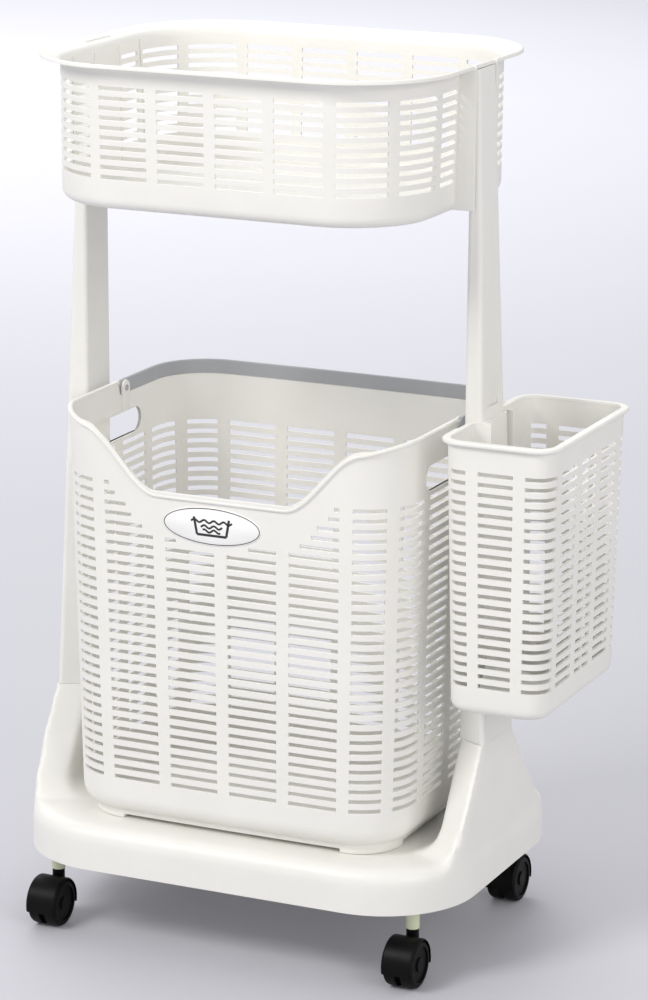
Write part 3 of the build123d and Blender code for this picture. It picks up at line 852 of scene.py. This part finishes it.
def cut_hand_holes(skin):
    """Cut the hand hole in both side walls, and return the thin flanges round them."""
    half_w = big_sizes(GRIP_Z)[0]
    radius = GRIP_HEIGHT / 2
    straight = GRIP_LENGTH / 2 - radius
    outline = [
        (end * straight - radius * math.sin(turn), -end * radius * math.cos(turn))
        for end in (-1, 1)
        for turn in np.linspace(0, math.pi, 13) * -end
    ]
    flanges, cutters = [], []
    for side in (-1, 1):

        def grip_ring(x, grow):
            factor = (radius + grow) / radius
            ends = [max(min(y, straight), -straight) for y, _ in outline]
            return [
                (MID_X + side * x, STACK_Y + GRIP_Y + end + (y - end) * factor, GRIP_Z + z * factor)
                for (y, z), end in zip(outline, ends)
            ]

        cutters.append(stack("hand_hole", [grip_ring(half_w + x, 0.0) for x in (-12, 8)], IVORY))
        within, outside = half_w - WALL - 1.0, half_w + 0.6
        sections = ((within, 0.0), (within, GRIP_FLANGE), (outside, GRIP_FLANGE), (outside, 0.0))
        flange = stack("flange", [grip_ring(x, grow) for x, grow in sections], IVORY, closed=True)
        flanges.append(soften(flange, 0.4))
    for cutter in cutters:
        cut = skin.modifiers.new("hand_hole", "BOOLEAN")
        cut.object = cutter
        cut.operation = "DIFFERENCE"
        cut.solver = "EXACT"
    finish_piece(skin)
    for cutter in cutters:
        bpy.data.objects.remove(cutter)
    return flanges


def plinth_and_feet(plinth):
    """Plinth over its outline, and the corners of it that reach down to the deck as feet."""
    plinth_z = BIG_BOTTOM_Z - PLINTH_DROP
    made = [soften(prism("plinth", plinth, plinth_z, BIG_BOTTOM_Z + 3.0, IVORY), 1.0)]
    for across in (-1, 1):
        for along in (-1, 1):
            corner = [
                (x, y)
                for x, y in plinth
                if across * (x - MID_X) > FOOT_FROM[0] and along * (y - STACK_Y) > FOOT_FROM[1]
            ]
            corner.append((MID_X + across * FOOT_FROM[0], STACK_Y + along * FOOT_FROM[1]))
            made.append(soften(prism("foot", corner, DECK_TOP + 0.3, plinth_z + 1.0, IVORY), 0.8))
    return made


def handle_tabs():
    """Tabs inside the walls that carry the handle's pins, rounded at the top."""
    outer = BAIL_HIGH.x - MID_X - LUG_GAP
    half = LUG_WIDTH / 2
    top, foot_z = BIG_HIGH.z - 0.6, SHELF_Z - 14
    profile = [(half, foot_z)]
    for turn in np.linspace(0, math.pi, 13):
        profile.append((half * math.cos(turn), top - half + half * math.sin(turn)))
    profile.append((-half, foot_z))
    made = []
    for side in (-1, 1):
        rings = [
            [(MID_X + side * x, STACK_Y + PIVOT_Y + y, z) for y, z in profile]
            for x in (outer - LUG_THICK, outer)
        ]
        made.append(soften(stack("lug", rings, IVORY), 0.8))
    return made


def make_laundry_basket():
    """Tall basket with the dip in its front, its lip, hand holes, feet and handle tabs."""
    rim_z = BIG_HIGH.z
    reference = quadrant(*big_sizes((BIG_BOTTOM_Z + rim_z) / 2))
    places, slotted = divide(reference, list(columns(BIG_WEB, BIG_SLOTS)))
    portions = shares(reference, places)

    def outline(z, inset=0.0):
        a, b, r = big_sizes(z)
        path = quadrant(a - inset, b - inset, r - inset)
        here = spread(path, portions)
        return crowned(ring(path, path, here, here), a, b, BIG_BOW)

    above = (GRIP_Z, GRIP_Z + GRIP_HEIGHT / 2 + 2, SHELF_Z, middle(SHELF_Z, rim_z), rim_z)
    levels = list(blend_rings(BIG_BOTTOM_Z, BIG_BLEND, steps=8))
    levels += [(z, 0.0) for z in (*row_lines(BIG_ROWS), *above)]
    rings = [(z, outline(z, inset)) for z, inset in levels]
    flags = round_flags(slotted, slotted)
    skin = basket_skin("laundry_basket_shell", rings, flags, (MID_X, STACK_Y), IVORY)
    shelf_y = STACK_Y + PIVOT_Y - HANDLE_GAP
    slot_wall(
        skin,
        BIG_ROWS,
        IVORY,
        **{
            "Front Y": STACK_Y - 60,
            "Dip Height": SCOOP_Z,
            "Dip Flat": SCOOP_FLAT,
            "Dip End": SCOOP_END,
            "Dip Shoulder": SCOOP_SHOULDER,
            "Half Width": half_size(BIG_LOW, BIG_HIGH)[0] - BIG_LIP,
            "Rim Height": rim_z,
            "Plain Band": SCOOP_BAND,
            "Shelf Start Y": shelf_y,
            "Shelf Height": SHELF_Z,
            "Badge X": middle(BADGE_LOW, BADGE_HIGH).x,
            "Badge Z": middle(BADGE_LOW, BADGE_HIGH).z,
            "Badge Half Width": (BADGE_HIGH.x - BADGE_LOW.x) / 2 + 12,
            "Badge Half Height": (BADGE_HIGH.z - BADGE_LOW.z) / 2 + 5,
        },
    )
    parts = [skin]
    # rolled lip along the dip, the corners and the sides, up to the handle's ends
    lip = rounded_bar(-WALL - 0.3, BIG_LIP, -BIG_LIP_HEIGHT, 0.2, 1.6)
    fine = np.concatenate([np.linspace(i, i + 1, 30, endpoint=False) for i in range(3)] + [[3.0]])
    rim_path = quadrant(*big_sizes(rim_z))
    front_half = []
    for place in fine:
        x = point_on(rim_path, place)[0]
        z = dip_height(x) if place < 1.8 else rim_z
        a, b, r = big_sizes(z)
        point = crowned(np.array([point_on(quadrant(a, b, r), place)]), a, b, BIG_BOW)[0]
        front_half.append((point[0], point[1], z))
    front_half += [(front_half[-1][0], shelf_y - STACK_Y - 0.5, rim_z)]
    route = [(-x, y, z) for x, y, z in front_half[::-1]] + front_half[1:]
    route = [(MID_X + x, STACK_Y + y, z) for x, y, z in route]
    parts.append(sweep("lip", route, lip, IVORY))
    parts += cut_hand_holes(skin)
    parts += plinth_and_feet([(MID_X + x, STACK_Y + y) for x, y in outline(BIG_BOTTOM_Z, BIG_BLEND - 5)])
    parts += handle_tabs()
    basket = joined("laundry_basket_moulding", parts)
    smooth_by_angle(basket)
    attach(basket, "laundry_basket")
    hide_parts("laundry_basket")


# ---- carry handle


def make_carry_handle():
    """Flat strap that lies round the rear half of the laundry basket's rim, with rounded ends."""
    rise = BAIL_HIGH.z - BAIL_LOW.z
    half_w = (BAIL_HIGH.x - BAIL_LOW.x) / 2
    half_d = BAIL_HIGH.y - STACK_Y
    centre_z = (BAIL_HIGH.z + BAIL_LOW.z) / 2
    path = quadrant(half_w - BAIL_THICK / 2, half_d - BAIL_THICK / 2, BIG_CORNER + 0.5)
    fine = np.concatenate([np.linspace(i, i + 1, 28, endpoint=False) for i in range(3)])
    points = crowned(np.array([point_on(path, place) for place in fine]), half_w, half_d, BIG_BOW)
    arm_end = PIVOT_Y - rise / 2
    quarter = [(x, -y) for x, y in points if -y > arm_end + rise]
    side_x = quarter[-1][0]
    quarter += [(side_x + 0.1, arm_end + step) for step in ARM_STEPS]
    route = [(-x, y) for x, y in quarter[::-1]] + quarter[1:]
    route = [(MID_X + x, STACK_Y + y, centre_z) for x, y in route][::-1]
    radius = rise / 2
    squeeze = []
    for _, y, _ in route:
        reach = min(max(y - STACK_Y - arm_end, 0.0), radius)
        squeeze.append(max(math.sqrt(max(radius**2 - (radius - reach) ** 2, 0.0)) / radius, 0.12))
    section = rounded_bar(-BAIL_THICK / 2, BAIL_THICK / 2, -radius, radius, BAIL_EDGE)
    handle = sweep("carry_handle_strap", route, section, GREY, squeeze=squeeze)
    smooth_by_angle(handle)
    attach(handle, "carry_handle")
    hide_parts("carry_handle")


# ---- side basket


def make_side_basket():
    """Narrow basket whose inner side is drawn in round the right-hand post."""
    half_w, half_d = half_size(SIDE_LOW, SIDE_HIGH)
    bottom_z, rim_z = SIDE_LOW.z, SIDE_HIGH.z
    foot = (bottom_z, half_w - SIDE_FOOT_INSET, half_d - SIDE_FOOT_INSET, SIDE_CORNER)
    neck = (rim_z, half_w - SIDE_NECK_INSET, half_d - SIDE_NECK_INSET, SIDE_CORNER)

    def post_side(z, a, b, r):
        """Quarter path on the post's side (mirrored): round the corner, then into the post's recess."""
        outer_x, half_depth = between(z, POST_AT_SEAM, POST_AT_TOP)
        recess_x = (SIDE_X - MID_X) - outer_x - POST_GAP
        recess_y = half_depth + POST_GAP
        corners = [(0, -b), (a, -b), (a, -recess_y), (recess_x, -recess_y), (recess_x, 0)]
        return path_through(corners, [r, 5.0, 6.0])

    middle_z = (bottom_z + rim_z) / 2
    right_ref = quadrant(*between(middle_z, foot, neck))
    left_ref = post_side(middle_z, *between(middle_z, foot, neck))
    right_places, right_flags = divide(right_ref, SIDE_COLUMNS)
    left_places, left_flags = divide(left_ref, SIDE_POST_COLUMNS)
    portions = shares(right_ref, right_places)

    def at(z, inset=0.0):
        a, b, r = between(z, foot, neck)
        right = quadrant(a - inset, b - inset, r)
        left = post_side(z, a - inset, b - inset, r)
        return (z, ring(right, left, spread(right, portions), left_places))

    rings = [at(z, inset) for z, inset in blend_rings(bottom_z, SIDE_BLEND)]
    rings += [at(z) for z in (*row_lines(SIDE_ROWS), rim_z - 12, rim_z - 6, rim_z - 0.2)]
    skin = basket_skin(
        "side_basket_shell", rings, round_flags(right_flags, left_flags), (SIDE_X, STACK_Y), IVORY
    )
    slot_wall(skin, SIDE_ROWS, IVORY)
    parts = [skin]
    lip = rounded_bar(-WALL - 0.3, SIDE_NECK_INSET, -4.4, 0.0, 1.8)
    a, b, r = between(rim_z, foot, neck)
    right = quadrant(a, b, r)
    left = post_side(rim_z, a, b, r)
    around = [point_on(right, place) for place in right_places]
    to_post = [point_on(left, place) for place in left_places if place <= 2.6]
    free = [(-x, y) for x, y in to_post[::-1]] + [(x, y) for x, y in around[1:]]
    free += [(x, -y) for x, y in around[::-1][1:]] + [(-x, -y) for x, y in to_post[1:]]
    route = [(SIDE_X + x, STACK_Y + y, rim_z) for x, y in free]
    parts.append(sweep("lip", route, lip, IVORY))
    recess = [point_on(left, place) for place in left_places if place > 2.4]
    recess = [(-x, y) for x, y in recess] + [(-x, -y) for x, y in recess[::-1][1:]]
    route = [(SIDE_X + x, STACK_Y + y, rim_z) for x, y in recess]
    parts.append(sweep("recess_lip", route[::-1], rounded_bar(0.0, WALL + 0.4, -4.0, 0.0, 1.1), IVORY))
    basket = joined("side_basket_moulding", parts)
    smooth_by_angle(basket)
    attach(basket, "side_basket")
    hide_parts("side_basket")


# ---- base


def deck_x(y):
    """Half-width of the deck's outline at y from its middle."""
    half_w, half_d = half_size(BASE_LOW, BASE_HIGH)
    over = max(abs(y) - (half_d - DECK_CORNER), 0.0)
    return half_w - DECK_CORNER + math.sqrt(max(DECK_CORNER**2 - over**2, 0.0))


def make_base():
    """Tray and its two risers, melted into one moulding and hollow underneath."""
    half_w, half_d = half_size(BASE_LOW, BASE_HIGH)
    places, _ = divide(quadrant(half_w, half_d, DECK_CORNER), ())
    # deck with a soft shoulder; it starts lower than its edge, and is cut there afterwards
    levels = [(BASE_LOW.z - 16, 0.0), (DECK_TOP - DECK_SHOULDER, 0.0)]
    for turn in np.radians((15, 30, 45, 60, 75, 90)):
        inset = DECK_SHOULDER * (1 - math.cos(turn))
        levels.append((DECK_TOP - DECK_SHOULDER * (1 - math.sin(turn)), inset))
    rings = []
    for z, inset in levels:
        path = quadrant(half_w - inset, half_d - inset, DECK_CORNER - inset)
        rings.append([(MID_X + x, BASE_Y + y, z) for x, y in ring(path, path, places, places)])
    parts = [stack("deck", rings, IVORY)]
    # risers: straight tapers whose inner face runs out into the deck in a hollow blend
    blend = np.linspace(DECK_TOP + RISER_BLEND, DECK_TOP, 7)
    heights = (SEAM_Z + 23, SEAM_Z, 190.0, 168.0, *blend, DECK_TOP - 10)
    for side in (-1, 1):
        rings = []
        for z in heights:
            inner_d, outer_d = between(z, RISER_FOOT, RISER_TOP)
            short = max(RISER_BLEND - max(z - DECK_TOP, 0.0), 0.0)
            inner_x = POST_INNER_X - (RISER_BLEND - math.sqrt(RISER_BLEND**2 - short**2))
            outer = []
            rear_d = outer_d * (1 + RISER_REAR * (SEAM_Z - min(z, SEAM_Z)) / (SEAM_Z - DECK_TOP))
            for y in np.linspace(-outer_d, rear_d, 15):
                x = min(RISER_OUTER_X, deck_x(y + STACK_Y - BASE_Y) - 0.2)
                outer.append((MID_X + side * x, STACK_Y + y, z))
            inner = [(MID_X + side * inner_x, STACK_Y + y, z) for y in (inner_d, 0.0, -inner_d)]
            rings.append(outer + inner)
        parts.append(stack("riser", rings, IVORY))
    base = joined("base_tray_moulding", parts)
    melt = base.modifiers.new("melt", "REMESH")
    melt.mode = "VOXEL"
    melt.voxel_size = BASE_VOXEL * MM
    melt.adaptivity = 0.0
    flow = base.modifiers.new("flow", "SMOOTH")
    flow.factor = 0.5
    flow.iterations = 10
    finish_piece(base)
    work = bmesh.new()
    work.from_mesh(base.data)
    for height, direction in ((SEAM_Z, 1), (BASE_LOW.z, -1)):
        everything = list(work.verts) + list(work.edges) + list(work.faces)
        plane = {"plane_co": (0, 0, height * MM), "plane_no": (0, 0, direction)}
        bmesh.ops.bisect_plane(work, geom=everything, clear_outer=True, **plane)
    work.to_mesh(base.data)
    work.free()
    skin = base.modifiers.new("skin", "SOLIDIFY")
    skin.thickness = BASE_SKIN * MM
    skin.offset = -1
    finish_piece(base)
    smooth_by_angle(base, 40)
    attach(base, "trolley")
    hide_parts("base_tray")


# ---- badge


def make_badge():
    """Oval plate with a thin outline and a plain figure of a wash tub with three waves."""
    centre = middle(BADGE_LOW, BADGE_HIGH)
    half_w = (BADGE_HIGH.x - BADGE_LOW.x) / 2
    half_h = (BADGE_HIGH.z - BADGE_LOW.z) / 2

    def on_wall(x, z, proud):
        """Point on the basket's front wall, proud of it."""
        a, b, _ = big_sizes(z)
        rel = x - MID_X
        y = b * (1 - BIG_BOW[0] / b * (rel / a) ** 2)
        return (x, STACK_Y - y - proud, z)

    def oval(name, outer, inner, back, front, material, steps=72):
        points = []
        for scale_x, scale_z, proud in (
            (*inner, back), (*outer, back), (*outer, front - 0.15),
            (outer[0] - 0.2, outer[1] - 0.2, front), (inner[0], inner[1], front),
        ):
            for k in range(steps):
                turn = 2 * math.pi * k / steps
                points.append(
                    on_wall(centre.x + scale_x * math.cos(turn), centre.z + scale_z * math.sin(turn), proud)
                )
        filled = inner[0] < 1.0
        faces = band_faces(steps, 5, closed=not filled)
        if filled:
            faces.append(tuple(range(len(points) - steps, len(points))))
        piece = new_piece(name, points, faces, material)
        face_outwards(piece, merge=0.001)
        return piece

    plate = oval("badge_plate", (half_w, half_h), (0.5, 0.5), 0.0, 0.9, PLATE)
    smooth_by_angle(plate, 50)
    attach(plate, "laundry_basket")
    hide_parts("badge")
    lines = [oval("outline", (half_w - 0.6, half_h - 0.6), (half_w - 1.5, half_h - 1.5), 0.8, 1.0, INK)]

    def stroke(route, width):
        """Raised line of the given width along (x, z) points."""
        points = []
        route = np.array(route, float)
        ahead = np.gradient(route, axis=0)
        side = np.stack([-ahead[:, 1], ahead[:, 0]], 1)
        side /= np.linalg.norm(side, axis=1)[:, None]
        for (x, z), (sx, sz) in zip(route, side):
            for shift, proud in ((-0.5, 0.8), (-0.5, 1.0), (0.5, 1.0), (0.5, 0.8)):
                points.append(
                    on_wall(centre.x + x + sx * width * shift, centre.z + z + sz * width * shift, proud)
                )
        faces = band_faces(4, len(route))
        faces += [(0, 1, 2, 3), tuple(range(len(points) - 4, len(points)))[::-1]]
        piece = new_piece("stroke", points, faces, INK)
        face_outwards(piece, merge=0.001)
        return piece

    tub = [(-18, 8), (-15, -8.5), (15, -8.5), (18, 8)]
    for first, last in zip(tub, tub[1:]):
        lines.append(stroke([first, last], 2.4))
    for level, reach in ((4.5, 21.0), (-0.5, 11.0), (-4.5, 9.0)):
        wave = [(x, level + 1.3 * math.sin(x * 2 * math.pi / 10.0)) for x in np.linspace(-reach, reach, 40)]
        lines.append(stroke(wave, 1.9))
    figure = joined("badge_figure", lines)
    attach(figure, "laundry_basket")


# ---- build, materials of the CAD nodes

make_top_basket()
make_laundry_basket()
make_carry_handle()
make_side_basket()
make_base()
make_badge()

FINISHES = {
    "post_": IVORY,
    "handle_pin_": GREY,
    "caster_sleeve_": NYLON,
    "caster_stem_": STEEL,
    "caster_hood_": BLACK,
    "caster_axle_": STEEL,
    "wheel_": TREAD,
}
for name, cad_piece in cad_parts.items():
    for start, material in FINISHES.items():
        if name.startswith(start):
            cad_piece.data.materials.clear()
            cad_piece.data.materials.append(material)

# ---- floor, light and camera

FLOOR_HALF = 9000.0


def make_floor():
    """Pale matt studio floor."""
    corners = [(x * FLOOR_HALF, y * FLOOR_HALF, -0.2) for x, y in ((-1, -1), (1, -1), (1, 1), (-1, 1))]
    floor = new_piece("floor", corners, [(0, 1, 2, 3)], None)
    material, tree = new_material("matt_studio_paper")
    place = add_node(tree, "ShaderNodeTexCoord").outputs["Object"]
    _, colour = clouded(tree, place, 833, "#c4c4cb", "#c8c8cf", Detail=2.0)
    shader = add_node(tree, "ShaderNodeBsdfPrincipled", {"Base Color": colour, "Roughness": 0.75})
    add_node(tree, "ShaderNodeOutputMaterial", {"Surface": shader.outputs["BSDF"]})
    floor.data.materials.clear()
    floor.data.materials.append(material)


def soft_light(name, place, target, size, power, colour):
    """Square soft box that points at the target."""
    light = bpy.data.lights.new(name, "AREA")
    light.shape = "SQUARE"
    light.size = size
    light.energy = power
    light.color = linear(colour)[:3]
    lamp = bpy.data.objects.new(name, light)
    lamp.location = place
    lamp.rotation_euler = (Vector(target) - Vector(place)).to_track_quat("-Z", "Y").to_euler()
    bpy.context.scene.collection.objects.link(lamp)


def make_studio():
    make_floor()
    world = bpy.data.worlds.new("studio")
    bpy.context.scene.world = world
    world.use_nodes = True
    world.node_tree.nodes.clear()
    sky = add_node(
        world.node_tree, "ShaderNodeBackground", {"Color": linear("#f5f5f7"), "Strength": 0.68}
    )
    add_node(world.node_tree, "ShaderNodeOutputWorld", {"Surface": sky.outputs[0]})
    aim = (0.0, 0.0, 0.42)
    soft_light("key", (-1.3, -2.3, 2.6), aim, 1.2, 54, "#fffdfa")
    soft_light("fill", (2.5, -1.5, 1.5), aim, 1.6, 25, "#fffbf6")
    soft_light("top", (0.1, 0.5, 2.9), aim, 1.6, 7, "#ffffff")
    # a broad soft box far behind on the left lifts the floor there to white
    soft_light("far_floor", (-3.4, 4.6, 3.4), (-3.4, 5.0, 0.0), 5.0, 230, "#ffffff")
    bpy.context.scene.view_settings.view_transform = "Standard"


def make_camera():
    """Long-lens camera a little above the baskets, from the front right."""
    turn, rise, roll = math.radians(24.588), math.radians(14.603), math.radians(0.34)
    distance = 3.6142
    target = Vector((-0.02525, 0.0468, 0.40509))
    back = Vector((math.sin(turn) * math.cos(rise), -math.cos(turn) * math.cos(rise), math.sin(rise)))
    right = (-back).cross(Vector((0, 0, 1))).normalized()
    up = right.cross(-back)
    right_rolled = math.cos(roll) * right + math.sin(roll) * up
    up_rolled = -math.sin(roll) * right + math.cos(roll) * up
    data = bpy.data.cameras.new("camera")
    data.sensor_width = 36.0
    data.lens = 135.15
    data.clip_end = 50.0
    camera = bpy.data.objects.new("camera", data)
    axes = Matrix((right_rolled, up_rolled, back)).transposed()
    camera.matrix_world = Matrix.Translation(target + back * distance) @ axes.to_4x4()
    bpy.context.scene.collection.objects.link(camera)
    bpy.context.scene.camera = camera


make_studio()
make_camera()
